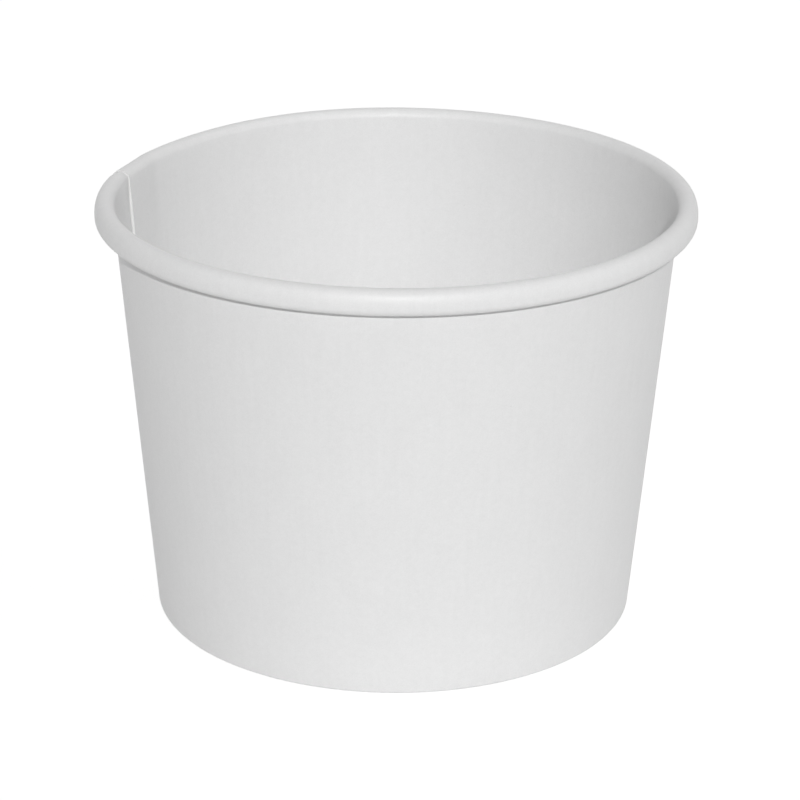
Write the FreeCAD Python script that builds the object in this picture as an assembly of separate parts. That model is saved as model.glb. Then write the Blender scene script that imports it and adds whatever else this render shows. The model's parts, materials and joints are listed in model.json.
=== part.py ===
import FreeCAD, Part
import math
import os

# Paper sundae cup: a side wall wrapped from one board blank, and a drawn bottom disc.
# Millimetres, +Z up. The origin is on the cup's axis, in the plane that the cup stands on.

# Outside of the cup
rim_diameter = 98.0
base_diameter = 79.4
cup_height = 71.0

# Board, and the film of melted coating that seals the disc's skirt on each side
wall_board = 0.40
disc_board = 0.35
seal_film = 0.02

# Rolled rim. The two radii are those left inside the roll where the board lies double.
crown_hollow = 0.78
shoulder_hollow = 2.5
shoulder_angle = 25.0
flank_height = 0.6
roll_gap = 0.26

# Turned-in foot, whose fold holds the skirt of the bottom disc
hem_height = 7.0
foot_flat_width = 0.15

# Bottom disc
disc_bend_radius = 0.9
bend_gap = 0.6
skirt_end_gap = 0.7

# Lapped side seam, measured round the rim. The angle is from +X, counter-clockwise from above.
seam_edge_angle = 168.0
lap_width = 10.5
ramp_width = 2.6
ramp_steps = 3

# How far the short flats of a bend may stand off its true arc
bend_chord_error = 0.1

AXIS_POINT = FreeCAD.Vector(0, 0, 0)
AXIS = FreeCAD.Vector(0, 0, 1)
QUARTER = math.pi / 2

# Radii of the faces that show, where the board lies single or double under them
crown_radius = crown_hollow + 2 * wall_board
shoulder_radius = shoulder_hollow + 2 * wall_board
shoulder_turn = math.radians(shoulder_angle)

# The crown's arc meets the shoulder's, and the shoulder's ends in the upright flank
shoulder_extra = shoulder_radius - crown_radius
crown_centre_radius = rim_diameter / 2 - shoulder_radius + shoulder_extra * math.cos(shoulder_turn)
crown_centre_height = cup_height - crown_radius
flank_foot_height = crown_centre_height - shoulder_extra * math.sin(shoulder_turn) - flank_height

# The wall's outer face is the tangent from the foot to the inside of the crown's board
foot_to_crown = math.hypot(crown_centre_radius - base_diameter / 2, crown_centre_height)
crown_bearing = math.atan2(crown_centre_height, crown_centre_radius - base_diameter / 2)
wall_heading = crown_bearing + math.asin((crown_radius - wall_board) / foot_to_crown)
slope = QUARTER - wall_heading

# Where the wall's inner face runs into the crown
roll_start_radius = crown_centre_radius - crown_radius * math.cos(slope)
roll_start_height = crown_centre_height + crown_radius * math.sin(slope)

# The roll's lower bend brings its free end back up, clear of the doubled wall
roll_width = (rim_diameter / 2 - roll_start_radius) * math.cos(slope)
roll_drop = (roll_start_height - flank_foot_height) * math.sin(slope)
under_radius = (roll_width + roll_drop - 2 * wall_board - roll_gap) / (1 + math.cos(slope))


def inner_face_radius(height):
    """Radius of the wall's inner face at a height."""
    return roll_start_radius - (roll_start_height - height) * math.tan(slope)


def rim_angle(width):
    """The angle in degrees that a width round the rim takes up."""
    return math.degrees(width / (rim_diameter / 2))


def step(point, heading, distance):
    """The point a distance away in the section plane, where x is the radius and y the height."""
    return point[0] + distance * math.cos(heading), point[1] + distance * math.sin(heading)


def wall_path(lift):
    """The wall board's inner face, from the hem's cut edge round the foot and up into the roll.

    The foot's fold is raised by the lift, to leave room for a second layer of board below it.
    """
    fold_gap = disc_board + 2 * seal_film
    fold_radius = (fold_gap - foot_flat_width * math.cos(slope)) / 2
    fold_centre_height = wall_board + lift + fold_radius
    fold_rise = fold_radius * math.sin(slope)
    hem_start = (inner_face_radius(hem_height) - fold_gap / math.cos(slope), hem_height)
    moves = [
        ("straight", (hem_height - fold_centre_height - fold_rise) / math.cos(slope)),
        ("left", fold_radius, QUARTER + slope),
        ("straight", foot_flat_width),
        ("left", fold_radius, QUARTER - slope),
        ("straight", (roll_start_height - fold_centre_height + fold_rise) / math.cos(slope)),
        ("right", crown_radius, QUARTER - slope),
        ("right", crown_radius, QUARTER - shoulder_turn),
        ("right", shoulder_radius, shoulder_turn),
        ("straight", flank_height),
        ("right", under_radius, math.pi + slope),
    ]
    return hem_start, wall_heading - math.pi, moves


def disc_path():
    """The disc's upper face, from the axis over the bend and down the skirt's outer face."""
    bend_height = hem_height + bend_gap
    bend_rise = disc_bend_radius * math.sin(slope)
    skirt_top = bend_height - bend_rise
    skirt_radius = inner_face_radius(skirt_top) - seal_film / math.cos(slope)
    skirt_end = 2 * wall_board + skirt_end_gap
    moves = [
        ("straight", skirt_radius - disc_bend_radius * math.cos(slope)),
        ("right", disc_bend_radius, QUARTER + slope),
        ("straight", (skirt_top - skirt_end) / math.cos(slope)),
    ]
    return (0.0, bend_height + disc_bend_radius), 0.0, moves


def trace(path, offset, thickness):
    """The corners of a path that is moved to its right by an offset, with bends in short flats.

    A bend has as many flats as it needs on the face that lies one thickness from the path.
    """
    start, heading, moves = path
    point = step(start, heading - QUARTER, offset)
    corners = [point]
    for move in moves:
        if move[0] == "straight":
            point = step(point, heading, move[1])
            corners.append(point)
            continue
        side = 1 if move[0] == "left" else -1
        radius, turn = move[1:]
        flat_turn = math.sqrt(8 * bend_chord_error / (radius + side * thickness))
        flats = math.ceil(turn / flat_turn)
        centre = step(point, heading + side * QUARTER, radius + side * offset)
        for k in range(1, flats + 1):
            spoke = heading - side * QUARTER + side * turn * k / flats
            point = step(centre, spoke, radius + side * offset)
            corners.append(point)
        heading += side * turn
    return corners


def board_section(path, near, far, azimuth=0.0):
    """The outline of a bent board between two offsets from its path, turned about the axis."""
    corners = trace(path, near, 0) + trace(path, far, far - near)[::-1]
    outline = Part.makePolygon([FreeCAD.Vector(x, 0, z) for x, z in corners + corners[:1]])
    outline.rotate(AXIS_POINT, AXIS, azimuth)
    return outline


def swept(section, angle):
    """The solid that a section makes when it turns about the cup's axis."""
    return Part.Face(section).revolve(AXIS_POINT, AXIS, angle)


def eased(start, end, k):
    """A value k steps of the way along a ramp that is level at both ends."""
    return start + (end - start) * (1 - math.cos(math.pi * k / ramp_steps)) / 2


def ramp(first_azimuth, first_lift, last_lift, inset_first, inset_last):
    """The stretch where the board's lift over the standing plane and its inset change."""
    sections = []
    for k in range(ramp_steps + 1):
        inset = eased(inset_first, inset_last, k)
        path = wall_path(eased(first_lift, last_lift, k))
        azimuth = first_azimuth + rim_angle(ramp_width) * k / ramp_steps
        sections.append(board_section(path, inset, inset + wall_board, azimuth))
    return Part.makeLoft(sections, True, True)


def side_wall():
    """The wrapped blank, sealed to itself at the lap.

    Going round from above, counter-clockwise: the inner layer's foot rises to let the outer layer
    under it, the two layers lie on each other, and past the inner layer's cut edge the outer layer
    settles back on to the cone.
    """
    lap_angle = rim_angle(lap_width)
    ramp_angle = rim_angle(ramp_width)
    lap_start = seam_edge_angle - lap_angle
    raised = wall_path(wall_board)
    outer_face = 2 * wall_board

    single = swept(board_section(wall_path(0), 0, wall_board, seam_edge_angle + ramp_angle),
                   360 - lap_angle - 2 * ramp_angle)
    rising = ramp(lap_start - ramp_angle, 0, wall_board, 0, 0)
    inner_layer = swept(board_section(raised, 0, wall_board, lap_start), lap_angle)
    outer_layer = swept(board_section(raised, wall_board, outer_face, lap_start), lap_angle)
    settling = ramp(seam_edge_angle, wall_board, 0, wall_board, 0)
    return single.fuse([rising, inner_layer, outer_layer, settling])


def bottom_disc():
    """The floor panel with its skirt drawn down along the wall, into the foot's fold."""
    return swept(board_section(disc_path(), 0, disc_board), 360)


os.makedirs("parts", exist_ok=True)
for name, make in (("side_wall", side_wall), ("bottom_disc", bottom_disc)):
    solid = make().Solids[0]
    solid.exportStep("parts/" + name + ".step")
    print(name, "volume", round(solid.Volume, 1), "valid", solid.isValid())
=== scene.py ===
import json
import math
from collections import namedtuple

import bpy
from mathutils import Matrix, Vector


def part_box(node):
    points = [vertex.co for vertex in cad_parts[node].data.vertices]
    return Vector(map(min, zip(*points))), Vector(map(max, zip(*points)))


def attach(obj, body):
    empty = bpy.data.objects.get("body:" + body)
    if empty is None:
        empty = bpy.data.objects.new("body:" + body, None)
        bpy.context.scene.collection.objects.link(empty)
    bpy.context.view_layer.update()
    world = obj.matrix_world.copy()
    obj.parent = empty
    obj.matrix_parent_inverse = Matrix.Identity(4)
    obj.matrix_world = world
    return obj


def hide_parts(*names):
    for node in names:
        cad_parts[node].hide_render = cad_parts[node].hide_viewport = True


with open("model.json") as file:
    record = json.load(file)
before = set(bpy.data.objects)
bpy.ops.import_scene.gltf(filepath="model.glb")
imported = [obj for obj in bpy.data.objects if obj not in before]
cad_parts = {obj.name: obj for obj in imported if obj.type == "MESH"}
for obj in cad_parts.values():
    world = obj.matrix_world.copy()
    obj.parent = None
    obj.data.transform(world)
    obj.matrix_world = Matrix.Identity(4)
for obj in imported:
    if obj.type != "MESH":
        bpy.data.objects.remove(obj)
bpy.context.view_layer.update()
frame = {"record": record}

# Side wall
# One blank of white coated board, wrapped into a cone and sealed to itself along a lapped seam.
# Its upper edge is rolled outwards into the rim, and its lower edge is turned in as the foot.
MM = 0.001
mounts = {mount["name"]: mount for mount in frame["record"]["mounts"]}
rim_radius = mounts["rim"]["dims"]["r_mm"] * MM
flank_height = mounts["rim"]["dims"]["length_mm"] * MM
cup_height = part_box("side_wall")[1].z
base_radius = 39.7 * MM

wall_board = 0.40 * MM
wall_tone = (0.86, 0.86, 0.86)
wall_cut_tone = (0.78, 0.78, 0.775)
wall_stations = 740

# Rolled rim
crown_radius = 1.58 * MM
shoulder_radius = 3.3 * MM
shoulder_turn = math.radians(25)
roll_gap = 0.26 * MM

# Turned-in foot, with ribs knurled into its hem
hem_height = 7.0 * MM
foot_flat_width = 0.15 * MM
skirt_board = 0.35 * MM
seal_film = 0.02 * MM
rib_count = 122
rib_depth = 0.11 * MM
ribbed_share = 0.9

# Lapped seam. The glue line keeps its two layers apart, and the rim's rolling presses its edge thin.
seam_edge_angle = math.radians(168)
lap_turn = 10.5 * MM / rim_radius
ramp_turn = 2.6 * MM / rim_radius
glue_line = 0.004 * MM
pressed_share = 0.55
pressed_above = cup_height - 4.5 * MM
pressed_fully_above = cup_height - 1.5 * MM

# How far handling has put the wall and the rim out of true
ripple_height = 0.12 * MM
lap_hollow = rim_radius * (1 - math.cos(lap_turn / 2))
pull_depth = 1.4 * MM
pull_angle = math.radians(144)
pull_narrowness = 8.0
crimp_depth = 0.35 * MM
crimp_reach = 1.8 * MM
free_above = 10 * MM
free_growth = 1.3

QUARTER = math.pi / 2
FULL_TURN = 2 * math.pi
WELD = 0.001 * MM

SectionPoint = namedtuple("SectionPoint", "radius height heading run")


class Value:
    """A node's output socket. A sum written on it becomes a Math node, or Vector Math on vectors."""

    def __init__(self, wiring, socket):
        self.wiring = wiring
        self.socket = socket

    def combine(self, operation, *terms):
        kind = "ShaderNodeMath"
        if any(isinstance(t, tuple) or isinstance(t, Value) and t.socket.type == "VECTOR" for t in terms):
            kind = "ShaderNodeVectorMath"
            terms = [(t,) * 3 if isinstance(t, (int, float)) else t for t in terms]
        return self.wiring.add(kind, {"operation": operation}, dict(enumerate(terms)))

    def __add__(self, other):
        return self.combine("ADD", self, other)

    def __sub__(self, other):
        return self.combine("SUBTRACT", self, other)

    def __rsub__(self, other):
        return self.combine("SUBTRACT", other, self)

    def __mul__(self, other):
        return self.combine("MULTIPLY", self, other)

    def __truediv__(self, other):
        return self.combine("DIVIDE", self, other)

    def __gt__(self, other):
        return self.combine("GREATER_THAN", self, other)

    def __lt__(self, other):
        return self.combine("LESS_THAN", self, other)

    def __abs__(self):
        return self.combine("ABSOLUTE", self)

    __radd__ = __add__
    __rmul__ = __mul__

    def cosine(self):
        return self.combine("COSINE", self)

    def sine(self):
        return self.combine("SINE", self)

    def floor(self):
        return self.combine("FLOOR", self)

    def dot(self, other):
        return self.combine("DOT_PRODUCT", self, other)

    def power(self, exponent):
        return self.combine("POWER", self, exponent)

    def at_least(self, other):
        return self.combine("MAXIMUM", self, other)

    def softly_at_least(self, other, softness):
        return self.combine("SMOOTH_MAX", self, other, softness)

    def eased(self, low, high):
        """From 0 at low to 1 at high, level at both ends."""
        sockets = {"Value": self, "From Min": low, "From Max": high}
        return self.wiring.add("ShaderNodeMapRange", {"interpolation_type": "SMOOTHSTEP"}, sockets)


class Wiring:
    """A node tree in which one call makes a node, sets it, fills its sockets and gives one output."""

    def __init__(self, tree):
        self.tree = tree

    def add(self, kind, settings, sockets, output=0):
        node = self.tree.nodes.new(kind)
        for name, setting in settings.items():
            setattr(node, name, setting)
        for key, given in sockets.items():
            socket = self.pick(node.inputs, key)
            for item in given if isinstance(given, list) else [given]:
                if isinstance(item, Value):
                    self.tree.links.new(item.socket, socket)
                else:
                    socket.default_value = item
        if node.outputs:
            return Value(self, self.pick(node.outputs, output))

    def pick(self, sockets, key):
        """The socket of a name or a place, among those that the node's settings leave in use."""
        usable = [s for s in sockets if s.enabled]
        return usable[key] if isinstance(key, int) else next(s for s in usable if s.name == key)

    def output_of(self, value, name):
        """Another output of the node that gave a value."""
        return Value(self, self.pick(value.socket.node.outputs, name))

    def vector(self, x=0.0, y=0.0, z=0.0):
        return self.add("ShaderNodeCombineXYZ", {}, {"X": x, "Y": y, "Z": z})

    def noise(self, where, scale, detail, roughness):
        sockets = {"Vector": where, "Scale": scale, "Detail": detail, "Roughness": roughness}
        return self.add("ShaderNodeTexNoise", {"noise_dimensions": "3D"}, sockets, "Fac")

    def rays_that_look(self):
        """1 for the rays that show a background: from the camera, off gloss or through glass."""
        from_camera = self.add("ShaderNodeLightPath", {}, {}, "Is Camera Ray")
        off_gloss = self.output_of(from_camera, "Is Glossy Ray")
        through_glass = self.output_of(from_camera, "Is Transmission Ray")
        return from_camera.at_least(off_gloss).at_least(through_glass)


def bent_board(start, heading, moves):
    """The points along one face of a bent board.

    A move is a length or a radius, the turn to the left in radians, and how many parts it has.
    """
    radius, height = start
    run = 0.0
    points = [SectionPoint(radius, height, heading, run)]
    for size, turn, parts in moves:
        part_turn = turn / parts
        stride = 2 * size * math.sin(abs(part_turn) / 2) if turn else size / parts
        for _ in range(parts):
            chord_heading = heading + part_turn / 2
            radius += stride * math.cos(chord_heading)
            height += stride * math.sin(chord_heading)
            run += stride
            heading += part_turn
            points.append(SectionPoint(radius, height, heading, run))
    return points


def section_object(name, points, rules):
    """The section as a line of vertices that carry the board's thickness direction and marks.

    A rule gives a mark its value at a point, and a mark without a rule is 0 all along.
    """
    mesh = bpy.data.meshes.new(name)
    pairs = [(i, i + 1) for i in range(len(points) - 1)]
    mesh.from_pydata([(p.radius, 0, p.height) for p in points], pairs, [])
    through = mesh.attributes.new("through", "FLOAT_VECTOR", "POINT")
    for i, p in enumerate(points):
        through.data[i].vector = (math.sin(p.heading), 0, -math.cos(p.heading))
    unmarked = dict.fromkeys(("foot", "free", "rib", "pleat", "crimp", "pressed"), lambda p: 0.0)
    for mark, rule in {**unmarked, "run": lambda p: p.run, **rules}.items():
        attribute = mesh.attributes.new(mark, "FLOAT", "POINT")
        for i, p in enumerate(points):
            attribute.data[i].value = rule(p)
    piece = bpy.data.objects.new(name, mesh)
    bpy.context.scene.collection.objects.link(piece)
    return piece


def share_of(value, low, high):
    """How far a value is from low to high, kept between 0 and 1."""
    return max(0.0, min(1.0, (value - low) / (high - low)))


def board_tree():
    """Geometry Nodes that wrap a section round the cup's axis and give it the board's thickness."""
    tree = bpy.data.node_groups.new("wrapped_board", "GeometryNodeTree")
    made = Wiring(tree)
    tree.interface.new_socket("Section", in_out="INPUT", socket_type="NodeSocketGeometry")
    tree.interface.new_socket("Stations", in_out="INPUT", socket_type="NodeSocketInt")
    for name in ("Start", "Sweep", "Lap", "Ramp", "Board", "Layer Step", "Rise Slope", "Ripple Height",
                 "Lap Hollow", "Pull Depth", "Pull Angle", "Pull Narrowness", "Crimp Depth",
                 "Pressed Share", "Rib Count", "Rib Depth", "Pleat Count", "Pleat Depth"):
        tree.interface.new_socket(name, in_out="INPUT", socket_type="NodeSocketFloat")
    tree.interface.new_socket("Board Material", in_out="INPUT", socket_type="NodeSocketMaterial")
    tree.interface.new_socket("Board", in_out="OUTPUT", socket_type="NodeSocketGeometry")
    group = tree.nodes.new("NodeGroupInput")

    def given(name):
        return Value(made, made.pick(group.outputs, name))

    # One grid row for each station round the cup, and one column for each point of the section
    columns = made.add("GeometryNodeAttributeDomainSize", {}, {"Geometry": given("Section")}, "Point Count")
    grid_size = {"Vertices X": given("Stations"), "Vertices Y": columns}
    grid = made.add("GeometryNodeMeshGrid", {}, grid_size, "Mesh")
    index = made.add("GeometryNodeInputIndex", {}, {})
    station = (index / columns).floor()
    column = index - station * columns

    def named(name, data_type):
        settings = {"data_type": data_type}
        return made.add("GeometryNodeInputNamedAttribute", settings, {"Name": name}, "Attribute")

    def on_section(field, data_type):
        """The value that a field has at the section's point of each column."""
        whole = made.add("FunctionNodeFloatToInt", {"rounding_mode": "ROUND"}, {0: column})
        sockets = {"Geometry": given("Section"), "Value": field, "Index": whole}
        return made.add("GeometryNodeSampleIndex", {"data_type": data_type, "domain": "POINT"}, sockets)

    def mark(name):
        return on_section(named(name, "FLOAT"), "FLOAT")

    place = on_section(made.add("GeometryNodeInputPosition", {}, {}), "FLOAT_VECTOR")
    through = on_section(named("through", "FLOAT_VECTOR"), "FLOAT_VECTOR")

    # The turn so far decides which layer of the lap a station is in, and how high its foot stands
    turned = station / (given("Stations") - 1) * given("Sweep")
    azimuth = given("Start") - turned
    lap_end = given("Sweep") - given("Lap")
    step_up = turned.eased(lap_end - given("Ramp"), lap_end) * given("Layer Step")
    over_first_lap = 1 - turned.eased(given("Lap"), given("Lap") + given("Ramp"))
    lift = (over_first_lap * given("Layer Step") + step_up) * mark("foot")
    rise = made.vector(x=lift * given("Rise Slope"), z=lift)

    # Rolling the rim presses the inner layer's cut edge thin, and the outer layer comes up to it
    pressed = mark("pressed") * given("Pressed Share")
    thinned = (1 - turned.eased(0.0, given("Ramp"))) * pressed
    inset = step_up * (1 - (1 - turned.eased(lap_end, lap_end + given("Ramp"))) * pressed)

    # Handling leaves the free wall and the rim a little out of true. The noises are read on a
    # cylinder round the axis, so that they meet where the cup closes.
    circle, climb = 1.3, 26.0
    height = made.add("ShaderNodeSeparateXYZ", {}, {"Vector": place}, "Z")
    around = made.vector(azimuth.cosine() * circle, azimuth.sine() * circle, height * climb)
    wander = made.noise(around, 1.0, 2.0, 0.45)
    sag = made.noise(around + 7.3, 1.4, 1.0, 0.5)
    dents = made.noise(around + 3.1, 3.4, 1.5, 0.5)
    free = mark("free")
    ripple = given("Ripple Height") * free

    # The doubled board of the lap stays flatter than the cone, and the rim beside it is drawn inwards
    off_lap = 1 - (azimuth - given("Start") + given("Lap") * 0.5).cosine()
    lap_span = 1 - (given("Lap") * 0.5).cosine()
    flat = (1 - off_lap / lap_span).softly_at_least(0.0, 0.35)
    pull = (azimuth - given("Pull Angle")).cosine().at_least(0.0).power(given("Pull Narrowness"))
    crimp = (dents - 0.5) * mark("crimp") * given("Crimp Depth")
    inwards = (flat * given("Lap Hollow") + pull * given("Pull Depth")) * free + crimp
    shift = made.vector(x=(wander - 1) * ripple - inwards, z=(sag - 1) * ripple * 0.8)

    # Uneven pleats move the whole board, and ribs are pressed into its far face
    fine_pleats = (azimuth * given("Pleat Count") + wander * 9).cosine() * 0.5
    wide_pleats = (azimuth * 31).cosine() * 0.2
    pleat = through * ((fine_pleats + wide_pleats + 0.7) * given("Pleat Depth") * mark("pleat"))
    rib_wave = 0.5 + 0.5 * (azimuth * given("Rib Count")).cosine()
    thickness = given("Board") * (1 - thinned) - rib_wave * given("Rib Depth") * mark("rib")

    def round_axis(vector):
        turn = {"Vector": vector, "Angle": azimuth}
        return made.add("ShaderNodeVectorRotate", {"rotation_type": "Z_AXIS"}, turn)

    def with_attribute(geometry, name, data_type, domain, value):
        return made.add("GeometryNodeStoreNamedAttribute", {"data_type": data_type, "domain": domain},
                        {"Geometry": geometry, "Name": name, "Value": value})

    # The near face, which keeps where its board lay on the flat blank and which way the far face is.
    # That map is worked out on the points, because a corner's index says nothing of its place.
    near_place = round_axis(place + through * inset + rise + shift + pleat)
    spread = made.vector(turned * base_radius, mark("run"))
    spread = made.add("GeometryNodeFieldOnDomain", {"data_type": "FLOAT_VECTOR", "domain": "POINT"},
                      {"Value": spread})
    near = with_attribute(grid, "across", "FLOAT_VECTOR", "POINT", round_axis(through * thickness))
    near = with_attribute(near, "board_map", "FLOAT2", "CORNER", spread)
    near = made.add("GeometryNodeSetPosition", {}, {"Geometry": near, "Position": near_place})
    near = made.add("GeometryNodeMergeByDistance", {}, {"Geometry": near, "Distance": WELD})

    # The far face is drawn out of the near one, with the cut edges between them
    drawn = made.add("GeometryNodeExtrudeMesh", {"mode": "FACES"},
                     {"Mesh": near, "Offset Scale": 0.0, "Individual": False}, "Mesh")
    far_face = made.output_of(drawn, "Top")
    cut_face = made.output_of(drawn, "Side")
    across = named("across", "FLOAT_VECTOR")
    drawn = with_attribute(drawn, "cut_edge", "FLOAT", "FACE", cut_face)
    drawn = made.add("GeometryNodeSetPosition", {},
                     {"Geometry": drawn, "Selection": far_face, "Offset": across})
    drawn = made.add("GeometryNodeFlipFaces", {}, {"Mesh": drawn})
    whole = made.add("GeometryNodeJoinGeometry", {}, {"Geometry": [near, drawn]})
    whole = made.add("GeometryNodeMergeByDistance", {}, {"Geometry": whole, "Distance": WELD})
    whole = made.add("GeometryNodeSetShadeSmooth", {}, {"Geometry": whole, "Shade Smooth": True})
    whole = made.add("GeometryNodeRealizeInstances", {}, {"Geometry": whole})
    whole = made.add("GeometryNodeSetMaterial", {},
                     {"Geometry": whole, "Material": given("Board Material")})
    made.add("NodeGroupOutput", {}, {0: whole})
    return tree


def wrapped(name, section, tree, settings):
    """The plain mesh that the tree makes of a section, with the section removed."""
    modifier = section.modifiers.new("wrap", "NODES")
    modifier.node_group = tree
    for item in tree.interface.items_tree:
        if item.name in settings and item.in_out == "INPUT":
            modifier[item.identifier] = settings[item.name]
    evaluated = section.evaluated_get(bpy.context.evaluated_depsgraph_get())
    mesh = bpy.data.meshes.new_from_object(evaluated)
    mesh.name = name
    mesh.attributes.remove(mesh.attributes["across"])
    mesh.set_sharp_from_angle(angle=math.radians(40))
    bpy.data.objects.remove(section)
    piece = bpy.data.objects.new(name, mesh)
    bpy.context.scene.collection.objects.link(piece)
    return piece


def board_material(name, tone, cut_tone):
    """White coated board: faint cloudiness and fibre under a satin film, and a raw, duller cut edge."""
    material = bpy.data.materials.new(name)
    material.use_nodes = True
    material.node_tree.nodes.clear()
    made = Wiring(material.node_tree)
    at = made.add("ShaderNodeTexCoord", {}, {}, "Object") * (1 / MM)
    board_map = made.add("ShaderNodeUVMap", {"uv_map": "board_map"}, {}) * (1 / MM)

    def noise(scale, detail, where=at):
        return made.noise(where, scale, detail, 0.55)

    def scattered(cells_per_mm, reach, rarity):
        """1 within a reach of the middle of some random cells, and 0 elsewhere."""
        sockets = {"Vector": at, "Scale": cells_per_mm, "Randomness": 1.0}
        cells = made.add("ShaderNodeTexVoronoi", {"feature": "F1"}, sockets, "Distance")
        chance = made.add("ShaderNodeSeparateColor", {}, {0: made.output_of(cells, "Color")}, 0)
        return (cells < reach) * (chance > rarity)

    # Pulp grain, millimetre mottle, wide clouds, and long faint streaks up the board
    fibre_tone, mottle_tone, cloud_tone, streak_tone = 0.100, 0.060, 0.035, 0.036
    fibre = noise(4.5, 2.0)
    mottle = noise(1.1, 3.0)
    cloud = noise(0.10, 2.0)
    streak = noise(1.0, 2.0, board_map * (1.0, 0.07, 1.0))
    shade = 1 + (fibre - 0.5) * fibre_tone + (mottle - 0.5) * mottle_tone
    shade = shade + (cloud - 0.5) * cloud_tone + (streak - 0.5) * streak_tone

    # A few dark specks in the pulp, and here and there a fine curved hair of it
    speck_tone, hair_tone, hair_width = 0.10, 0.035, 0.0035
    bend = noise(0.16, 0.0)
    curve = (hair_width - abs(bend - 0.5)).eased(0.0, hair_width)
    speck = scattered(0.16, 0.022, 0.80)
    hair = scattered(0.055, 0.11, 0.55) * curve
    shade = shade - speck * speck_tone - hair * hair_tone

    # The cut edge shows the raw plies, matt and rougher than the film on the faces
    film_roughness, mottle_roughness, raw_roughness = 0.48, 0.10, 0.35
    cut = made.add("ShaderNodeAttribute", {"attribute_name": "cut_edge"}, {}, "Fac")
    ply = noise(9.0, 3.0)
    sides = {"Factor": cut, "A": shade * tone, "B": (0.97 + ply * 0.06) * cut_tone}
    colour = made.add("ShaderNodeMix", {"data_type": "RGBA"}, sides, "Result")
    roughness = film_roughness + (mottle - 0.5) * mottle_roughness + cut * raw_roughness

    relief_depth = 0.008 * MM
    relief = mottle * 0.5 + fibre * 0.22 + streak * 0.6 + cut * ply * 1.5
    bump = made.add("ShaderNodeBump", {}, {"Strength": 1.0, "Distance": relief_depth, "Height": relief})
    surface = made.add("ShaderNodeBsdfPrincipled", {}, {
        "Base Color": colour, "Roughness": roughness, "IOR": 1.48, "Normal": bump})
    made.add("ShaderNodeOutputMaterial", {}, {"Surface": surface})
    return material


# The wall's outer face is the tangent from the foot to the inside of the rolled rim's crown
shoulder_extra = shoulder_radius - crown_radius
crown_x = rim_radius - shoulder_radius + shoulder_extra * math.cos(shoulder_turn)
crown_z = cup_height - crown_radius
reach = math.hypot(crown_x - base_radius, crown_z)
bearing = math.atan2(crown_z, crown_x - base_radius)
wall_heading = bearing + math.asin((crown_radius - wall_board) / reach)
slope = QUARTER - wall_heading
roll_start_x = crown_x - crown_radius * math.cos(slope)
roll_start_z = crown_z + crown_radius * math.sin(slope)

# The roll's lower bend brings its free end back up, clear of the wall where that lies double
flank_foot_z = crown_z - shoulder_extra * math.sin(shoulder_turn) - flank_height
roll_width = (rim_radius - roll_start_x) * math.cos(slope)
roll_drop = (roll_start_z - flank_foot_z) * math.sin(slope)
under_radius = (roll_width + roll_drop - 2 * wall_board - roll_gap) / (1 + math.cos(slope))


def inner_radius(height):
    """Radius of the wall's inner face at a height."""
    return roll_start_x - (roll_start_z - height) * math.tan(slope)


# The foot's fold holds the skirt of the bottom disc, with a film of melted coating on each side
fold_gap = skirt_board + 2 * seal_film
fold_radius = (fold_gap - foot_flat_width * math.cos(slope)) / 2
fold_z = wall_board + fold_radius
hem_run = (hem_height - fold_z - fold_radius * math.sin(slope)) / math.cos(slope)
wall_run = (roll_start_z - fold_z + fold_radius * math.sin(slope)) / math.cos(slope)
hem_start = (inner_radius(hem_height) - fold_gap / math.cos(slope), hem_height)
wall_points = bent_board(hem_start, wall_heading - math.pi, [
    (hem_run, 0, 4),
    (fold_radius, QUARTER + slope, 4),
    (foot_flat_width, 0, 1),
    (fold_radius, QUARTER - slope, 4),
    (wall_run, 0, 16),
    (crown_radius, shoulder_turn + slope - math.pi, 14),
    (shoulder_radius, -shoulder_turn, 3),
    (flank_height, 0, 1),
    (under_radius, -math.pi - slope, 14),
])
roll_start_run = next(p.run for p in wall_points
                      if p.radius > base_radius and p.height > roll_start_z - WELD)
wall_section = section_object("wall_section", wall_points, {
    "foot": lambda p: share_of(p.height, hem_height, fold_z),
    "free": lambda p: share_of(p.height, free_above, cup_height) ** free_growth,
    "rib": lambda p: 1.0 if 0 < p.run < hem_run * ribbed_share else 0.0,
    "crimp": lambda p: share_of(abs(p.run - roll_start_run), crimp_reach, 0.0),
    "pressed": lambda p: 1.0 if p.run > roll_start_run else share_of(
        p.height, pressed_above, pressed_fully_above),
})
wrap = board_tree()
side_wall = wrapped("paper_side_wall", wall_section, wrap, {
    "Stations": wall_stations,
    "Start": seam_edge_angle,
    "Sweep": FULL_TURN + lap_turn,
    "Lap": lap_turn,
    "Ramp": ramp_turn,
    "Board": wall_board,
    "Layer Step": wall_board + glue_line,
    "Rise Slope": math.tan(slope),
    "Ripple Height": ripple_height,
    "Lap Hollow": lap_hollow,
    "Pull Depth": pull_depth,
    "Pull Angle": pull_angle,
    "Pull Narrowness": pull_narrowness,
    "Crimp Depth": crimp_depth,
    "Pressed Share": pressed_share,
    "Rib Count": float(rib_count),
    "Rib Depth": rib_depth,
    "Board Material": board_material("coated_wall_board", wall_tone, wall_cut_tone),
})
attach(side_wall, "root")
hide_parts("side_wall")

# Bottom disc
# A round of thinner coated board, pressed into a shallow inverted tray. Its skirt is sealed
# between the wall and the turned-in hem, and the pressing leaves fine pleats round the bend.
disc_bend_radius = 0.9 * MM
bend_gap = 0.6 * MM
skirt_end = 2 * wall_board + 0.7 * MM
disc_tone = (0.85, 0.85, 0.85)
disc_cut_tone = (0.77, 0.77, 0.765)
disc_stations = 481
pleat_count = 96
pleat_depth = 0.05 * MM
unpleated_share = 0.86

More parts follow.
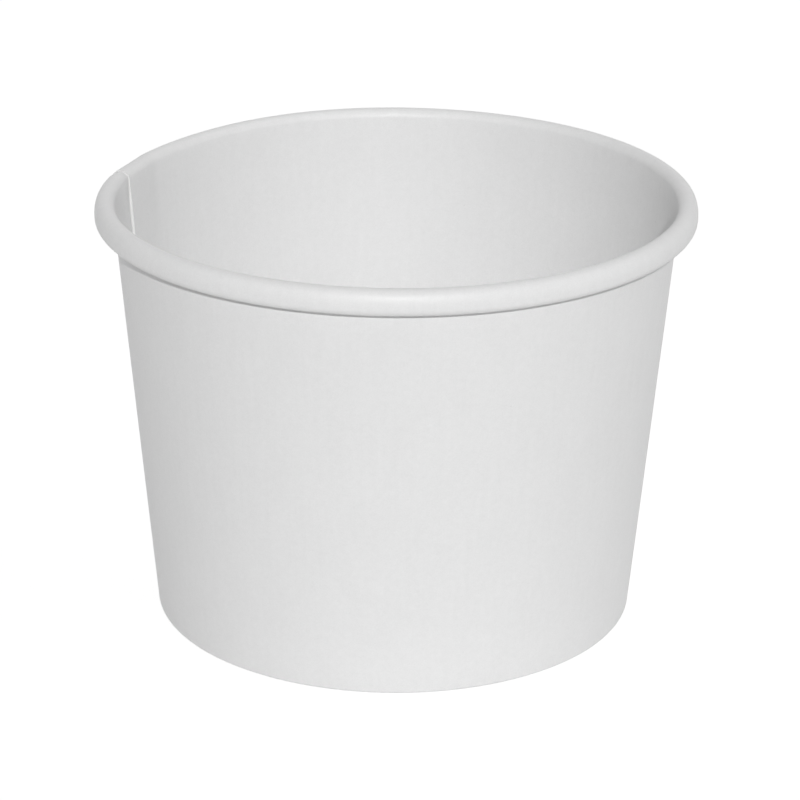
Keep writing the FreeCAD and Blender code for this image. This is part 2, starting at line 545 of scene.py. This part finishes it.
bend_z = hem_height + bend_gap
skirt_top = bend_z - disc_bend_radius * math.sin(slope)
skirt_x = inner_radius(skirt_top) - seal_film / math.cos(slope)
panel_radius = skirt_x - disc_bend_radius * math.cos(slope)
disc_points = bent_board((0.0, bend_z + disc_bend_radius), 0.0, [
    (panel_radius * 0.75, 0, 8),
    (panel_radius * 0.25, 0, 12),
    (disc_bend_radius, -QUARTER - slope, 10),
    ((skirt_top - skirt_end) / math.cos(slope), 0, 4),
])


def pleating(p):
    """Pleats grow towards the panel's edge and die out down the skirt, where the hem presses it."""
    outwards = share_of(p.run, panel_radius * unpleated_share, panel_radius)
    return outwards ** 2 * share_of(p.height, hem_height, bend_z)


disc_section = section_object("disc_section", disc_points, {"pleat": pleating})
bottom_disc = wrapped("paper_bottom_disc", disc_section, wrap, {
    "Stations": disc_stations,
    "Start": 0.0,
    "Sweep": FULL_TURN,
    "Ramp": ramp_turn,
    "Board": skirt_board,
    "Pleat Count": float(pleat_count),
    "Pleat Depth": pleat_depth,
    "Board Material": board_material("coated_disc_board", disc_tone, disc_cut_tone),
})
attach(bottom_disc, "root")
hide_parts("bottom_disc")

# Floor
# A wide white table top. Camera, glossy and transmission rays see its lit parts as plain white,
# and the cup's shadow on it. From below it is clear, so that the cup's underside can be seen.
floor_reach = 6.0
floor_tone = 0.80
floor_tone_seen = 0.45
floor_glow_seen = 0.72

floor_mesh = bpy.data.meshes.new("floor")
corners = [(-floor_reach, -floor_reach, 0), (floor_reach, -floor_reach, 0),
           (floor_reach, floor_reach, 0), (-floor_reach, floor_reach, 0)]
floor_mesh.from_pydata(corners, [], [(0, 1, 2, 3)])
floor = bpy.data.objects.new("floor", floor_mesh)
bpy.context.scene.collection.objects.link(floor)
floor_material = bpy.data.materials.new("white_table_top")
floor_material.use_nodes = True
floor_material.node_tree.nodes.clear()
table_top = Wiring(floor_material.node_tree)
seen = table_top.rays_that_look()
matt_level = floor_tone - seen * (floor_tone - floor_tone_seen)
matt_colour = table_top.add("ShaderNodeCombineColor", {}, {0: matt_level, 1: matt_level, 2: matt_level})
matt = table_top.add("ShaderNodeBsdfDiffuse", {}, {"Color": matt_colour})
glow = table_top.add("ShaderNodeEmission", {}, {"Strength": seen * floor_glow_seen})
both = table_top.add("ShaderNodeAddShader", {}, {0: matt, 1: glow})
from_below = table_top.add("ShaderNodeNewGeometry", {}, {}, "Backfacing")
clear = table_top.add("ShaderNodeBsdfTransparent", {}, {})
one_sided = table_top.add("ShaderNodeMixShader", {}, {0: from_below, 1: both, 2: clear})
table_top.add("ShaderNodeOutputMaterial", {}, {"Surface": one_sided})
floor_mesh.materials.append(floor_material)

# Light
# Wide soft boxes overhead to the left and the right and another behind the cup, and one hard key
# lamp beside the camera. Each soft box is a direction and its brightness.
soft_boxes = [((-0.707, 0, 0.707), 0.54), ((0.707, 0, 0.707), 0.86), ((0, 1, 0), 1.20)]
soft_box_narrowness = 4.0
key_strength = 1.90
key_azimuth = math.radians(3)
key_elevation = math.radians(26)
key_softness = math.radians(1.5)

world = bpy.data.worlds.new("white_room")
bpy.context.scene.world = world
world.use_nodes = True
world.node_tree.nodes.clear()
room = Wiring(world.node_tree)
looking = room.add("ShaderNodeTexCoord", {}, {}, "Generated")
ambient = 0.0
for direction, brightness in soft_boxes:
    ambient = looking.dot(direction).at_least(0.0).power(soft_box_narrowness) * brightness + ambient
shown = room.rays_that_look()
strength = ambient * (1 - shown) + shown
background = room.add("ShaderNodeBackground", {}, {"Color": (1, 1, 1, 1), "Strength": strength})
room.add("ShaderNodeOutputWorld", {}, {"Surface": background})

key = bpy.data.objects.new("key_lamp", bpy.data.lights.new("key_lamp", "SUN"))
key.data.energy = key_strength
key.data.angle = key_softness
towards_key = Vector((math.sin(key_azimuth) * math.cos(key_elevation),
                      -math.cos(key_azimuth) * math.cos(key_elevation), math.sin(key_elevation)))
key.rotation_mode = "QUATERNION"
key.rotation_quaternion = towards_key.to_track_quat("Z", "Y")
bpy.context.scene.collection.objects.link(key)

# Camera
# A long lens from a little above, which puts the rim and the foot where the photograph has them.
camera_place = Vector((0.89, -500.1, 232.9)) * MM
camera_pitch = math.radians(-21.644)
camera_roll = math.radians(0.45)
camera_lens = 145.6

camera = bpy.data.objects.new("camera", bpy.data.cameras.new("camera"))
camera.data.sensor_width = 36.0
camera.data.lens = camera_lens
camera.data.clip_start = 0.05
camera.data.clip_end = 50.0
upright = Matrix.Rotation(QUARTER + camera_pitch, 4, "X")
camera.matrix_world = Matrix.Translation(camera_place) @ upright @ Matrix.Rotation(camera_roll, 4, "Z")
bpy.context.scene.collection.objects.link(camera)
bpy.context.scene.camera = camera

bpy.context.scene.view_settings.view_transform = "Standard"
